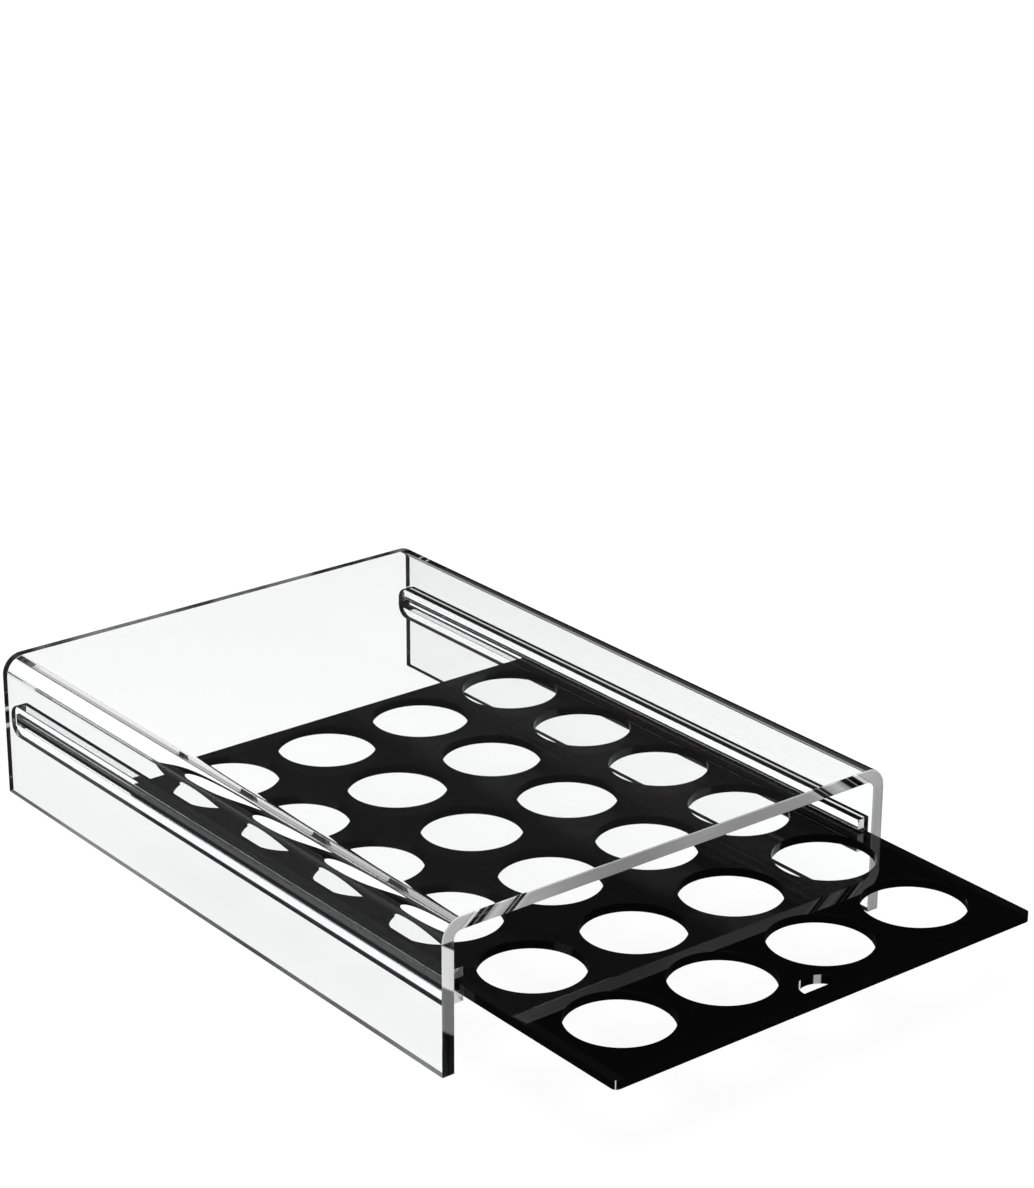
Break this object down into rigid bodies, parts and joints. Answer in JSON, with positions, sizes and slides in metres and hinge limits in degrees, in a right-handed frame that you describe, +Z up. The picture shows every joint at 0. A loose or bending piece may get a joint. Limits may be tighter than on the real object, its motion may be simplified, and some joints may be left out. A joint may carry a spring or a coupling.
{
  "type": "coffee capsule holder",
  "caption": "Clear acrylic stand for a brewer, with a black slide-out tray of round holes that hold coffee capsules.",
  "frame": {"origin": "on the counter, in the middle of the holder's width and of its whole length with the tray pulled out 94 mm", "axes": "+X to the right, +Y from the front to the back, +Z up"},
  "size_m": [0.235, 0.4264, 0.068],
  "materials": {
    "clear_acrylic": "clear polished acrylic",
    "black_acrylic": "gloss black acrylic"
  },
  "bodies": {
    "stand": {"shell": "clear_acrylic", "rail_left": "clear_acrylic", "rail_right": "clear_acrylic"},
    "tray": {"tray": "black_acrylic"}
  },
  "joints": [
    {"name": "tray_slide", "type": "slide", "parent": "stand", "child": "tray", "axis": [0, -1, 0], "range_m": [-0.094, 0.13]}
  ]
}
